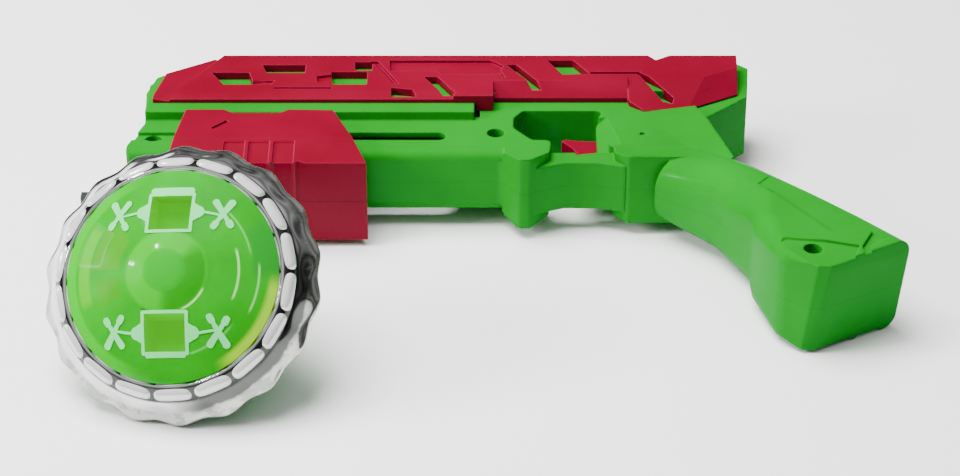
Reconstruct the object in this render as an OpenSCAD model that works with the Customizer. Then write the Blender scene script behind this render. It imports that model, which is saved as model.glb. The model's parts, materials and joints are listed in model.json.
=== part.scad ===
// Toy pistol launcher for a light-up spinning top, lying on its side.
// The muzzle points to -X, the grip leads away to +X and the top of the barrel faces +Y.
// The launcher is drawn from its own corner: nose at x = 0, underside at y = 0, table at z = 0.

/* [Launcher body] */
// Length of the shells behind the front of the guard
rear_len = 70; // [62:1:80]
// Height of the barrel part, underside to top
body_h = 52; // [50:1:58]
// Thickness across the flat sides
body_t = 18; // [17:0.5:20]
// Rise of the raised side bed over the flat side
bed_rise = 2.5; // [2:0.25:3.5]
// Shell wall thickness
wall = 1.6; // [1.4:0.1:1.8]
// Height of the bed's near edge over the underside
bed_y = 18.5; // [17:0.5:20]
// Length of the bed's open rail
rail_len = 93.4; // [90:0.2:95]

/* [Trigger guard] */
// Nose to the front of the guard
guard_x = 101; // [98:1:106]
// How far the guard's front lobe hangs below the underside
guard_drop = 6.6; // [5:0.2:8]
// How far the guard's rear lobe hangs below the underside
rear_drop = 4.3; // [3:0.1:6]
// Thickness of the guard's lobes at their near face
guard_t = 21.5; // [19:0.5:23]
// Thickness of the guard's thin bar
bar_t = 14; // [10:0.5:16]
// Length of the finger opening
open_len = 22.8; // [20:0.2:25]
// Top of the finger opening over the underside
open_top = 23.8; // [22:0.2:24.4]

/* [Grip] */
// Angle of the grip below the barrel line
grip_rake = 52; // [48:1:56]
// Length of the grip along its back
grip_len = 53; // [48:1:60]
// Width of the grip at the butt, front to back
butt_w = 29; // [26:0.5:31]
// Width of the grip at its waist
waist_w = 15.5; // [14:0.5:18]
// Edge radius of the butt
butt_r = 3.5; // [2.5:0.5:4.5]
// Skew of the butt face from square
butt_skew = 8; // [0:1:12]
// Lean of the butt face from upright
butt_lean = 7; // [0:1:10]
// Edge radius of the waist
waist_r = 8; // [6:0.5:8.5]

/* [Covers] */
// Thickness of each cover plate over its bed
cover_t = 2.25; // [1.75:0.25:3]
// Depth of the shallow recesses in the covers
recess = 0.9; // [0.5:0.1:1.2]

/* [Pump] */
// Length of the pump along its far edge
pump_len = 40; // [38:1:44]
// Height of the pump's body below the barrel
pump_drop = 10.5; // [8:0.5:11.5]
// Height of the pump's side walls over the underside
pump_side = 15.8; // [14:0.2:16.4]
// Pull of the pump
pump_travel = 24.5; // [20:0.5:25]
// Wall under the barrel
pump_floor = 2.4; // [1.8:0.2:2.6]
// Fall of the sloped bands along the pump's near edges
pump_edge = 2; // [1:0.5:3]

/* [Gears] */
// Tooth module
gear_m = 0.65; // [0.6:0.01:0.66]
// Teeth of the train's wheels
wheel_z = 20; // [20:2:20]
// Teeth of the pinion that the rack drives
rack_pinion_z = 10; // [10:4:14]
// Teeth of the spindle's pinion
spindle_z = 8; // [8:2:10]
// Width of the train's wheels
wheel_w = 2.2; // [1.8:0.1:2.4]
// Thinning of each tooth for backlash
backlash = 0.16; // [0.1:0.02:0.24]

/* [Trigger] */
// Travel of the trigger
trigger_travel = 4; // [3:0.5:4.5]
// Thickness of the trigger blade
trigger_t = 7; // [5:0.5:8]
// Swing of the sear in degrees
sear_swing = 5; // [4:0.5:6]

/* [Launch fork] */
// Distance from the spindle to each prong
prong_r = 14.7; // [13:0.1:15]
// Prong length along the fork
prong_l = 6.4; // [5:0.2:7]
// Prong width across the fork
prong_w = 7.6; // [6:0.2:8]
// Gap round each prong in the top's socket
socket_gap = 1.2; // [0.8:0.1:1.4]

/* [Spinning top] */
// Width of the ring outside the dome, out to the crests of its skirt
ring_w = 8.8; // [8:0.1:10]
// Number of lobes
lobes = 18; // [14:2:22]
// Depth of the scallops between the lobes
scallop = 1.1; // [0.6:0.1:1.6]
// Height of the skirt's lower edge over the tip
flange_z = 35.2; // [32:0.2:38]
// Flange to the lip round the dome
lip_rise = 10.5; // [9:0.5:12]
// Radius of the dome
dome_r = 26.3; // [24:0.1:27]
// Height of the dome
dome_h = 6.5; // [5:0.5:7.5]
// Wall of the dome
dome_wall = 1.4; // [1:0.1:1.8]
// Rise of the bump in the middle of the dome
bump_h = 1.3; // [0.8:0.1:1.6]
// Height of the dome's upright rim
dome_rim = 1.6; // [1.2:0.1:2]
// Width of the frames round the windows
frame_w = 1.3; // [1:0.1:1.6]
// Wall of the pockets behind the windows
pocket_t = 0.9; // [0.7:0.1:1.2]
// Depth of the pockets below the dome's rim
pocket_drop = 1.2; // [0.5:0.1:2]
// Radius of the ball at the tip
tip_r = 2; // [1.5:0.1:2.5]
// Where the top stands: its flange centre from the nose
top_x = 22.6; // [20:0.1:26]
// Where the top stands: its flange centre below the barrel's underside
top_y = 70.2; // [66:0.1:76]
// Turn of the top's face towards the muzzle side
top_turn = 13; // [0:1:24]
// Turn of the windows about the top's own axis
window_turn = 8; // [0:1:30]

/* [Fits] */
// Running clearance on pins and shafts
run_gap = 0.06; // [0.03:0.01:0.1]
// Clearance between moulded pieces that slide
slide_gap = 0.35; // [0.3:0.05:0.5]
// Radius of the gear pins and the sear's pin
pin_r = 1.2; // [1:0.1:1.4]
// Radius of the spindle
spindle_r = 2; // [1.8:0.1:2.2]
// Screw head radius
screw_head_r = 2.1; // [2:0.1:2.4]
// Screw shank radius
screw_r = 1.25; // [1.1:0.05:1.35]

/* [Hidden] */
$fn = 64;
eps = 0.01;
body_len = guard_x + rear_len;
bed_t = body_t + 2 * bed_rise;
total_t = bed_t + 2 * cover_t;
mid_z = total_t / 2;
cav_z = body_t / 2 - wall;
duct_z = bed_t / 2 - wall;
groove_y = 9.3;
groove_h = 4.2;
groove_end = 85.8;
cover_y = bed_y + 5.2;
cover_mid_y = 28.6;
plate_z = bed_t / 2 - body_t / 2;
rear_slope = 20;
pump_x = 15;
pump_slant = 2.8;
pump_nose = 11;
dip_h = 0.9;
dip_l = 6.4;
dip_ridge = 0.4;
pump_band = 0.4;
pump_dips = [for (i = [0 : 2]) pump_x + 11.4 + 6.6 * i];
hole_r = screw_head_r + 0.3;
front_screw = [6.6, 8.9];
mid_screw = [guard_x - 1.7, 11.1];
rear_dimple = [guard_x + 38.2, 10.6];
high_screw = [body_len - 9, body_h - 8];
butt_screw = [body_len + 6.8, -55.9];
body_screw_at = [front_screw, mid_screw, high_screw, butt_screw];

wheel_pr = gear_m * wheel_z / 2;
rack_pr = gear_m * rack_pinion_z / 2;
spindle_pr = gear_m * spindle_z / 2;
addendum = 0.8 * gear_m;
dedendum = gear_m;
pressure = 28;
spindle_x = 7.4;
front_gear_x = spindle_x + spindle_pr + wheel_pr;
middle_gear_x = front_gear_x + 2 * wheel_pr;
rear_gear_x = middle_gear_x + 2 * wheel_pr;
gear_xs = [front_gear_x, middle_gear_x, rear_gear_x];
gear_y = wall + slide_gap;
rack_y = gear_y + wheel_w + slide_gap;
rack_h = 2.6;
web_y = rack_y + rack_h + slide_gap;
web_t = 2;
pin_low = 0.6;
pin_top = web_y + web_t;
column_r = 4.2;
bush_r = spindle_r + 1.2;
fork_y = -pump_drop - 0.8;
fork_t = 3.2;
prong_h = 5;

arm_x = rear_gear_x + wheel_pr + addendum + 0.9;
arm_t = 4;
key_l = 6;
key_w = groove_h - 2 * slide_gap;
carriage_z = 5.5;
spring_r = 3.1;
spring_y = groove_y + 4;
spring_end = guard_x - 6;
spring_wire = 0.8;
spring_turns = 11;

open_x = guard_x + 3;
bar_y = -2;
open_back = open_x + open_len;
sear_at = [guard_x + 11, 30];
sear_nose = 20;
sear_tail = 22.8;
sear_lift = sear_tail * sin(sear_swing);
sear_tip_y = sear_at[1] - 2.8;
tail_y = sear_at[1] + 3.5;
tail_h = 3;
tail_end = sear_at[0] - sear_nose - slide_gap - pump_travel;
post_x = open_back + 4.4;
post_w = 7;
post_end = post_x + post_w + trigger_travel + 1;
spring_back = open_back + 19;
sear_room_top = 34.2;

ring_in = dome_r + 0.3;
ring_r = dome_r + ring_w;
bead_r = dome_r + 3.6;
seat_r = max([for (p = lobe_ring(ring_r, scallop, 2)) -p[1]]);
tilt_line = atan2(seat_r, flange_z - tip_r);
top_lean = tilt_line - asin(tip_r / norm([seat_r, flange_z - tip_r]));
flange_h = 1.6;
bead_h = 3.6;
bead_notch = 1.6;
lip_z = flange_z + lip_rise;
dome_z = lip_z - 2.4;
dome_curve = (dome_r * dome_r + dome_h * dome_h) / (2 * dome_h);
bump_curve = 24;
frame_h = 0.35;
tab_x = 8.6;
base_r = dome_r + 4.5;
base_top = flange_z + 1.6;
bush_r_top = 4;
bush_z = 5.6;
bush_h = 8;
cell_z = 15.6;
cell_h = 5;
cell_r = 5.8;
cell_at = 7.4;
lid_t = 1.6;
board_t = 1.2;
board_r = 15;
lid_z = cell_z + cell_h;
board_z = lid_z + lid_t;
top_screw_at = dome_r + 2.4;
top_screw_z = flange_z - 2;
top_height = seat_r * cos(top_lean);
face = [-sin(top_turn) * cos(top_lean), -cos(top_turn) * cos(top_lean), sin(top_lean)];
flange_at = [top_x, -top_y, top_height];

// A point of the top in its own axes, as it lies in the launcher's axes
function in_place(p) = flange_at
    + face * (p[2] - flange_z)
    + [cos(top_turn), -sin(top_turn), 0] * p[0]
    + [sin(top_turn) * sin(top_lean), cos(top_turn) * sin(top_lean), cos(top_lean)] * p[1];

// Radius of a lobed outline at an angle; a hollow points to the top's lowest side.
// A power of 2 gives soft waves, a power under 1 gives round beads with sharp notches
function lobe(r, depth, power, a) = r - depth * (1 - pow(abs(sin(lobes * a / 2)), power));
function lobe_ring(r, depth, power) = [for (i = [0 : lobes * 8 - 1])
    let (a = 360 * i / (lobes * 8) - 90, q = lobe(r, depth, power, a + 90)) [q * cos(a), q * sin(a)]];

far_points = [for (p = lobe_ring(ring_r, scallop, 2)) in_place([p[0], p[1], flange_z]),
              for (p = lobe_ring(ring_r, scallop, 2)) in_place([p[0], p[1], flange_z + flange_h]),
              for (p = lobe_ring(bead_r, bead_notch, 0.6)) in_place([p[0], p[1], lip_z - bead_h / 2])];

function unit(v) = v / norm(v);

// Rounds the corners of an outline of [x, y, radius] points with short curves
function soft(p, n = 4) = [for (i = [0 : len(p) - 1])
    let (b = [p[i][0], p[i][1]],
         before = p[(i + len(p) - 1) % len(p)],
         after = p[(i + 1) % len(p)],
         r = len(p[i]) > 2 ? p[i][2] : 0,
         u = unit([before[0], before[1]] - b),
         v = unit([after[0], after[1]] - b),
         t = r * tan(90 - acos(u * v) / 2))
    each r == 0 ? [b] : [for (j = [0 : n]) let (q = j / n)
        (1 - q) * (1 - q) * (b + u * t) + 2 * q * (1 - q) * b + q * q * (b + v * t)]];
pump_screw_x = [pump_x + 4, pump_x + pump_len - 3];
pump_screw_y = -pump_drop / 2 - 0.2;
butt_back = [body_len - 1.2, -10.2] + [cos(grip_rake), -sin(grip_rake)] * grip_len;
low_x = min(concat([for (p = far_points) p[0]], [spindle_x - prong_r - prong_l / 2]));
low_y = min([for (p = far_points) p[1]]);
mid_x = (low_x + butt_back[0]) / 2;
mid_y = (low_y + body_h) / 2;

// Puts the launcher's corner where the whole object is centred on the origin
module placed() { translate([-mid_x, -mid_y, 0]) children(); }

// Extrudes a flat outline by a thickness, centred on the mid plane
module slab(t) { translate([0, 0, mid_z - t / 2]) linear_extrude(t) children(); }

// Keeps the half over (up = 1) or under (up = -1) the mid plane
module half(up) {
    intersection() {
        children();
        translate([-50, -150, up > 0 ? mid_z : mid_z - 100]) cube([400, 300, 100]);
    }
}

// Puts a shape that is drawn above the mid plane onto the lower side
module flipped(up) {
    translate([0, 0, mid_z]) mirror([0, 0, up > 0 ? 0 : 1]) translate([0, 0, -mid_z]) children();
}

module body_outline() {
    polygon(soft([[1.5, 0], [guard_x - 0.2, 0, 3],
                  [guard_x + 4.4, -guard_drop, 1.6], [guard_x + 7.4, -guard_drop, 1.6],
                  [guard_x + 12.6, -0.8, 1.6], [guard_x + 13.2, 7.2, 2],
                  [open_x + 4.9, 7.2, 2.4], [open_x, 14.2, 3], [open_x + 0.2, 19.6, 3],
                  [open_x + 2.8, open_top, 2], [open_back + 2.6, open_top, 2],
                  [open_back, 18.4, 1.6], [open_back, 6, 1.2], [open_back + 4.2, 3.4, 1.2],
                  [open_back + 4.2, -1, 1.6], [open_back + 7.8, -rear_drop, 1.6],
                  [body_len - 16, -rear_drop], [body_len - 8, -6], [body_len - 14.5, 19.5],
                  [body_len - 1.7, 32, 1], [body_len, body_h - 3, 1.5], [body_len - 3, body_h, 1.5],
                  [16, body_h, 3], [4, body_h - 8.5, 2], [2, body_h - 18, 1], [3.5, 16.4, 2],
                  [0, 4, 1.5], [0, 1.5]]));
}

module bed_outline() {
    polygon([[3.4, bed_y], [rail_len, bed_y], [rail_len, cover_y + 0.6],
             [guard_x - 1, cover_mid_y + 2.2], [body_len - 13.4, cover_mid_y + 2.2],
             [body_len - 6.6, 37.4], [body_len - 5.6, body_h - 4],
             [19.6, body_h - 4], [6.4, body_h - 13.5], [3.2, body_h - 18]]);
}

// Flat side that swells towards the near face of the guard's lobes
module guard_block() {
    intersection() {
        slab(guard_t) body_outline();
        translate([guard_x + 0.4, 0, 0])
            rotate([90, 0, 90])
                linear_extrude(rear_len - 20)
                    polygon([[-guard_drop - 1, mid_z - guard_t / 2], [3.5, mid_z - body_t / 2],
                             [3.5, mid_z + body_t / 2], [-guard_drop - 1, mid_z + guard_t / 2]]);
    }
}

// Low wedge on the flat side where the grip's swell begins
module grip_wedge(up) {
    flipped(up)
        intersection() {
            translate([0, 0, mid_z])
                linear_extrude(total_t)
                    polygon([[guard_x + 37.4, 22.8], [guard_x + 52.4, -1.5], [body_len - 12, -6],
                             [body_len - 8.4, -4], [body_len - 15, 19.2], [body_len - 17, 22.8]]);
            translate([guard_x + 35, 26.8, mid_z + body_t / 2])
                rotate(-58.8)
                    rotate([9, 0, 0])
                        translate([-10, 0, -20])
                            cube([80, 30, 20]);
        }
}

// One cross section of the grip, at a distance along its back
module grip_slice(s, w, r, t) {
    at_grip()
        for (q = [-w + r, -r], h = [-t / 2 + r, t / 2 - r])
            translate([s, q, h])
                rotate([0, 90, 0])
                    cylinder(r = r, h = 0.05, $fn = 36);
}

// Axes of the grip: X along its back from the top, -Y towards the fingers
module at_grip() {
    translate([body_len - 1.2, -10.2, mid_z]) rotate(-grip_rake) children();
}

module grip_solid() {
    full = total_t;
    at_waist = total_t - 2.5;
    intersection() {
        union() {
            hull() {
                grip_slice(-19.5, waist_w + 5, waist_r, body_t + 1.5);
                grip_slice(-2.5, waist_w, waist_r, at_waist);
            }
            hull() {
                grip_slice(-2.5, waist_w, waist_r, at_waist);
                grip_slice(15, waist_w + 2.9, waist_r - 1, full);
            }
            hull() {
                grip_slice(15, waist_w + 2.9, waist_r - 1, full);
                grip_slice(22, butt_w - 5.4, waist_r - 2, full);
            }
            hull() {
                grip_slice(22, butt_w - 5.4, waist_r - 2, full);
                grip_slice(36, butt_w, butt_r + 1, full);
            }
            hull() {
                grip_slice(36, butt_w, butt_r + 1, full);
                grip_slice(grip_len + 3, butt_w, butt_r, full);
            }
        }
        // rounded near corner of the butt
        at_grip()
            translate([0, 0, -total_t])
                linear_extrude(2 * total_t)
                    polygon(soft([[-60, 30], [-60, -60], [20, -60], [38, -butt_w - 0.2, 5],
                                  [grip_len - 3.4, -butt_w + 2.8, 1.5], [grip_len + 4, 30]]));
    }
}

// Long rounded edge along the underside of the barrel, as the waste to cut off
module edge_waste(up) {
    r = 2.4;
    flipped(up)
        difference() {
            translate([-1, -1, mid_z + body_t / 2 - r]) cube([guard_x + 1, r + 1, r + 1]);
            translate([-2, r, mid_z + body_t / 2 - r])
                rotate([0, 90, 0])
                    cylinder(r = r, h = guard_x + 4);
        }
}

// Rooms inside the shells for the mechanism
module rooms() {
    // barrel room under the bed level
    slab(2 * cav_z)
        polygon([[3.4, wall], [spring_end, wall], [spring_end, bed_y + 4], [5.4, bed_y + 4], [5.4, 12]]);
    // high duct over the finger opening
    slab(2 * duct_z)
        polygon([[3.6 + wall, bed_y + wall], [spring_end, bed_y + wall],
                 [spring_end, cover_mid_y + 2.2 + wall], [body_len - 30, cover_mid_y + 2.2 + wall],
                 [body_len - 30, body_h - 6.4], [20, body_h - 6.4], [8.6, body_h - 15], [5, body_h - 20]]);
    // room of the sear
    slab(2 * 3.4)
        polygon([[spring_end - 1, open_top + wall], [post_end, open_top + wall],
                 [post_end, sear_room_top], [spring_end - 1, sear_room_top]]);
    // room of the trigger's stem, its post and its spring
    slab(trigger_t + 2 * slide_gap)
        polygon([[open_back - 1, 4.8], [spring_back, 4.8], [spring_back, 14],
                 [post_end, 14], [post_end, open_top + 3],
                 [post_x - 0.4, open_top + 3], [post_x - 0.4, 17.4], [open_back - 1, 17.4]]);
}

module shell(up) {
    half(up)
        difference() {
            union() {
                slab(body_t) body_outline();
                slab(bed_t) bed_outline();
                guard_block();
                slab(bar_t)
                    polygon([[guard_x + 6, -guard_drop + 0.3], [guard_x + 16.6, bar_y],
                             [guard_x + 25, bar_y], [open_back + 7, -rear_drop + 0.3],
                             [open_back + 7, 3.6], [guard_x + 13.6, 3.6], [guard_x + 9, 6]]);
                grip_wedge(up);
                grip_solid();
                // launch head under the nose
                translate([spindle_x, -pump_drop, mid_z])
                    rotate([-90, 0, 0])
                        cylinder(r = column_r, h = pump_drop + wall / 2);
            }
            edge_waste(up);
            difference() {
                rooms();
                bearings();
            }
            // slot beside the pump for its key, with a shallow groove ahead of it
            flipped(up)
                translate([0, groove_y - groove_h / 2, mid_z]) {
                    translate([arm_x - 0.6, 0, cav_z - 0.5])
                        cube([groove_end - groove_h / 2 - arm_x + 0.6, groove_h, 10]);
                    translate([0, 0, body_t / 2 - 1])
                        cube([arm_x, groove_h, 10]);
                    translate([groove_end - groove_h / 2, groove_h / 2, cav_z - 0.5])
                        cylinder(d = groove_h, h = 10);
                }
            // bore of the launch head
            translate([spindle_x, -pump_drop - 1, mid_z])
                rotate([-90, 0, 0])
                    cylinder(r = bush_r, h = pump_drop + wall + 1 + eps);
            for (x = gear_xs)
                translate([x, pin_low, mid_z])
                    rotate([-90, 0, 0])
                        cylinder(r = pin_r, h = pin_top - pin_low + eps);
            // leaning butt plane
            at_grip()
                translate([grip_len + 0.6, 0, total_t / 2])
                    rotate([0, butt_lean, -butt_skew])
                        translate([0, -60, -60])
                            cube([40, 120, 120]);
            screw_holes(up);
            translate([rear_dimple[0], rear_dimple[1], mid_z + body_t / 2 - 0.6])
                cylinder(r = 0.9, h = 5);
            translate([sear_at[0], sear_at[1], mid_z - cav_z])
                cylinder(r = pin_r, h = 2 * cav_z);
            flipped(up) grip_relief();
        }
}

// Webs that carry the gear pins and the spindle, and the wall behind the drive spring
module bearings() {
    for (x = gear_xs)
        translate([x - 3, web_y, mid_z - cav_z - 1])
            cube([6, web_t, 2 * cav_z + 2]);
    for (s = [-1, 1])
        translate([sear_at[0], sear_at[1], mid_z + s * (2 + slide_gap + 3)])
            cylinder(r = 3, h = 6, center = true);
    for (p = body_screw_at)
        translate([p[0], p[1], mid_z - 12]) cylinder(r = 3.2, h = 24);
}

// Counterbored screw holes, open on the upper side only
module screw_holes(up) {
    for (p = body_screw_at)
        translate([p[0], p[1], mid_z]) {
            if (up > 0) translate([0, 0, body_t / 2 - 4.4]) cylinder(r = hole_r, h = 20);
            if (up > 0) translate([0, 0, -1]) cylinder(r = screw_r + 0.15, h = 20);
            if (up < 0) translate([0, 0, -5.2]) cylinder(r = screw_r, h = 10);
        }
}

// Recessed panel, flat round the screw hole and step of the grip's side
module grip_relief() {
    at_grip()
        translate([0, 0, total_t / 2 - 0.8])
            linear_extrude(4) {
                polygon([[6, 2], [grip_len - 8, 2], [grip_len - 8, -4.6], [39, -13], [36.6, -13],
                         [9, -10.6]]);
                polygon([[33, -24.5], [37.5, -34], [46, -34], [51, -26.3], [53.4, -21], [47.8, -12.4],
                         [40.5, -17.4]]);
                polygon([[45, -5.4], [49.8, -4.2], [49.6, -11], [60, -16.5], [60, -20], [48.6, -12.4]]);
            }
}

module upper_shell() { color("limegreen") placed() shell(1); }

module lower_shell() { color("limegreen") placed() shell(-1); }

// Outline of a cover seen from its own side
module cover_outline() {
    polygon([[5, cover_y], [guard_x - 2.2, cover_y], [guard_x - 2.2, cover_mid_y],
             [guard_x + 34.8, cover_mid_y], [guard_x + 35.2, 26.4], [guard_x + 39.2, 23.1],
             [guard_x + 52.1, 24.2], [body_len - 4.4, 32.4], [body_len - 3.6, body_h - 4],
             [body_len - 22.5, body_h - 4], [body_len - 26.5, body_h - 6.8],
             [body_len - 28.5, body_h - 4], [20, body_h - 4], [7.5, body_h - 14.6], [5, cover_y + 2]]);
}

// Windows right through a cover, from the muzzle to the rear
module cover_windows() {
    polygon([[20.1, 37.6], [30.6, 37.6], [32.4, 30.4], [24, 30.4]]);
    polygon([[34, 42.2], [35.4, 37.4], [46.1, 37.4], [46.1, 42.2]]);
    polygon([[53.4, 38], [63.6, 38], [63.6, 30.4], [54.2, 30.4]]);
    polygon([[59.8, 44], [60.2, 38.8], [64.8, 38.8], [64.8, 44]]);
    polygon([[70.5, 24.6], [77.4, 24.6], [76.4, 27.4], [70.5, 28.6]]);
    polygon([[79.4, 35], [83.2, 35], [88.4, 25], [84.8, 25]]);
    polygon([[guard_x + 1.4, 42.4], [guard_x + 4.2, 42.4], [guard_x + 11, 30.6], [guard_x + 8.4, 30.6]]);
    polygon([[guard_x + 12.9, 45], [guard_x + 20.2, 45], [guard_x + 24.6, 36.8], [guard_x + 17, 36.4]]);
    polygon([[guard_x + 24.6, 38], [guard_x + 38.6, 38], [guard_x + 47.6, 27.6], [guard_x + 47, 25.6],
             [guard_x + 44.4, 26.4], [guard_x + 41.2, 31.4], [guard_x + 37.6, 36.8],
             [guard_x + 24.8, 36.8]]);
}

module cover_recesses() {
    polygon([[32, 32.8], [38, 32.8], [37, 30.4], [32.2, 30.4]]);
    polygon([[49.6, 35.4], [53.5, 36.4], [54, 32], [50, 31.4]]);
    polygon([[69.6, 45], [98.1, 45], [guard_x + 0.6, 41.6], [guard_x - 1.4, 36.4], [84.4, 36.4],
             [82.6, 38.6], [69.8, 38.6]]);
    polygon([[64.4, 44.4], [66.4, 44.4], [72.4, 31], [70.4, 31]]);
    polygon([[38, 28.8], [54, 28.8], [54, 27.9], [38, 27.9]]);
    polygon([[98.6, 42.4], [99.6, 42.4], [102, 34.4], [101, 34.4]]);
}

module cover(up) {
    flipped(up)
        difference() {
            union() {
                translate([0, 0, mid_z + bed_t / 2]) linear_extrude(cover_t) cover_outline();
                // deeper rim down to the flat side, from the notch over the finger opening to the rear
                translate([0, 0, mid_z + body_t / 2])
                    linear_extrude(plate_z)
                        difference() {
                            intersection() {
                                cover_outline();
                                translate([guard_x - 6.8, 0]) square([rear_len + 20, body_h]);
                            }
                            bed_outline();
                            translate([guard_x - 8, cover_mid_y + 1.8]) square([10, body_h]);
                        }
            }
            translate([0, 0, mid_z]) linear_extrude(30) cover_windows();
            translate([0, 0, total_t - recess]) linear_extrude(10) cover_recesses();
            // steep band over the finger opening
            translate([guard_x - 2.4, cover_mid_y, total_t - 3.3])
                rotate([37, 0, 0])
                    translate([0, -20, 0])
                        cube([37.4, 30, 12]);
            // near facet of the rear part
            translate([guard_x + 35, 23.4, mid_z + body_t / 2 + 0.5])
                rotate([rear_slope, 0, 0])
                    translate([0, -10, 0])
                        cube([40, 30, 12]);
            // side facet of the rear part
            translate([guard_x + 52.1, 24.2, mid_z + body_t / 2 + 0.6])
                rotate(31)
                    rotate([30, 0, 0])
                        translate([-40, -20, 0])
                            cube([80, 40, 20]);
            // sloped band along the near edge
            translate([5, cover_y, total_t - 1.1])
                rotate([17, 0, 0])
                    translate([-5, -10, 0])
                        cube([guard_x - 13.4, 20, 10]);
            // facet over the muzzle
            translate([5, cover_y, total_t - 1])
                rotate(62)
                    rotate([10, 0, 0])
                        translate([-20, -4, 0])
                            cube([60, 10, 10]);
        }
}

module upper_cover() { color("crimson") placed() cover(1); }

module lower_cover() { color("crimson") placed() cover(-1); }

module screw(p, top) {
    translate([p[0], p[1], mid_z - 5])
        cylinder(r = screw_r, h = top - mid_z + 5);
    difference() {
        translate([p[0], p[1], top - 1.8]) cylinder(r = screw_head_r, h = 1.8);
        translate([p[0], p[1], top - 0.9]) cylinder(r = 1.1, h = 2, $fn = 6);
    }
}

module body_screws() {
    color("silver") placed()
        for (p = body_screw_at) screw(p, mid_z + body_t / 2 - 2.6);
}

module pump_outline() {
    polygon([[pump_x - pump_slant, -pump_drop + 1.5], [pump_x - pump_slant + 1.5, -pump_drop],
             [pump_dips[0] - 0.6, -pump_drop],
             each [for (q = pump_dips) each [[q, -pump_drop + dip_ridge], [q + 0.8, -pump_drop + dip_h],
                                             [q + dip_l - 0.8, -pump_drop + dip_h],
                                             [q + dip_l, -pump_drop + dip_ridge]]],
             [pump_dips[2] + dip_l + 0.8, -pump_drop + dip_h], [pump_dips[2] + dip_l + 2.8, -pump_drop],
             [pump_x + pump_len + pump_nose - 1, -pump_drop],
             [pump_x + pump_len, pump_side - 0.4], [pump_x + 28, pump_side],
             [pump_x + 25.6, pump_side - 2], [pump_x + 13, pump_side - 2], [pump_x + 10.4, pump_side],
             [pump_x, pump_side]]);
}

module pump_half(up) {
    lug_z = up > 0 ? body_t / 2 - 1 + slide_gap : carriage_z;
    half(up)
        union() {
            difference() {
                pump_block();
                // channel that the barrel runs in
                slab(body_t + 2 * slide_gap)
                    translate([0, -slide_gap]) square([guard_x, 40]);
                difference() {
                    // hollow of the hand block
                    slab(total_t - 2 * pump_edge - 4)
                        translate([pump_x + 1.6, -pump_drop + pump_floor])
                            square([pump_len + 2, pump_drop - 2 * pump_floor - slide_gap]);
                    for (x = pump_screw_x)
                        translate([x, pump_screw_y, 0]) cylinder(r = 3, h = total_t);
                }
                // finger dips run up the sloped band
                for (q = pump_dips)
                    flipped(up)
                        translate([q + 0.4, pump_band, total_t - 0.1])
                            rotate([atan(pump_edge / (pump_drop + pump_band)), 0, 0])
                                translate([0, -20, -0.5])
                                    cube([dip_l - 0.8, 18.4, 3]);
                // small slanted notch
                flipped(up)
                    translate([pump_x + 8.6, 4.6, total_t - 0.6])
                        rotate(48)
                            cube([5.6, 1.2, 2]);
                for (x = pump_screw_x)
                    translate([x, pump_screw_y, 0]) {
                        if (up > 0) translate([0, 0, mid_z - 1]) cylinder(r = screw_r, h = 7);
                        if (up < 0) translate([0, 0, -1]) cylinder(r = hole_r, h = 4.2);
                        if (up < 0) translate([0, 0, -1]) cylinder(r = screw_r + 0.15, h = 40);
                    }
            }
            // guide lug in the blind groove, or the key that reaches the rack carriage
            flipped(up)
                translate([arm_x, groove_y - key_w / 2, mid_z + lug_z])
                    cube([key_l, key_w, body_t / 2 + slide_gap + 0.4 - lug_z]);
        }
}

// Hand block with sloped long edges and finger dips along its near face
module pump_block() {
    intersection() {
        slab(total_t) pump_outline();
        translate([pump_x - 20, 0, 0])
            rotate([90, 0, 90])
                linear_extrude(pump_len + 40)
                    polygon([[-pump_drop, pump_edge], [pump_band, 0], [pump_side + 1, 0],
                             [pump_side + 1, total_t], [pump_band, total_t],
                             [-pump_drop, total_t - pump_edge]]);
    }
}

module pump_upper() { color("firebrick") placed() pump_half(1); }

module pump_lower() { color("firebrick") placed() pump_half(-1); }

module pump_screws() {
    color("silver") placed()
        for (x = pump_screw_x)
            translate([x, pump_screw_y, 1.3]) {
                cylinder(r = screw_head_r, h = 1.9);
                cylinder(r = screw_r, h = mid_z + 3);
            }
}

// One flank of an involute tooth, from the root to the tip
function involute(r, z, k) =
    let (rb = r * cos(pressure), q = max(k, rb), p = acos(rb / q),
         half_t = 90 / z - (backlash / 2) / r * 180 / PI,
         spread = half_t + (tan(pressure) * 180 / PI - pressure) - (tan(p) * 180 / PI - p))
    spread;

module gear_outline(z) {
    r = gear_m * z / 2;
    steps = [r - dedendum, r - dedendum / 3, r, r + addendum / 2, r + addendum];
    polygon([for (i = [0 : z - 1])
        each concat(
            [for (k = steps) let (a = 360 * i / z - involute(r, z, k)) [k * cos(a), k * sin(a)]],
            [for (j = [4 : -1 : 0]) let (k = steps[j], a = 360 * i / z + involute(r, z, k))
                [k * cos(a), k * sin(a)]])]);
}

// A gear whose axis runs along Y, standing at a height over the underside
module gear(x, y, z, w, phase) {
    translate([x, y, mid_z])
        rotate([-90, 0, 0])
            rotate(phase)
                linear_extrude(w) gear_outline(z);
}

module bored_gear(x, phase, with_pinion) {
    difference() {
        union() {
            gear(x, gear_y, wheel_z, wheel_w, phase);
            if (with_pinion) gear(x, gear_y + wheel_w, rack_pinion_z, rack_h + slide_gap, phase);
            if (!with_pinion)
                translate([x, gear_y + wheel_w - eps, mid_z])
                    rotate([-90, 0, 0])
                        cylinder(r = pin_r + 0.9, h = rack_h + slide_gap);
        }
        translate([x, gear_y - 1, mid_z])
            rotate([-90, 0, 0])
                cylinder(r = pin_r + run_gap, h = 20);
    }
}

module rear_gear() { color("white") placed() bored_gear(rear_gear_x, 0, true); }

module middle_gear() { color("white") placed() bored_gear(middle_gear_x, 180 / wheel_z, false); }

module front_gear() { color("white") placed() bored_gear(front_gear_x, 0, false); }

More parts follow.
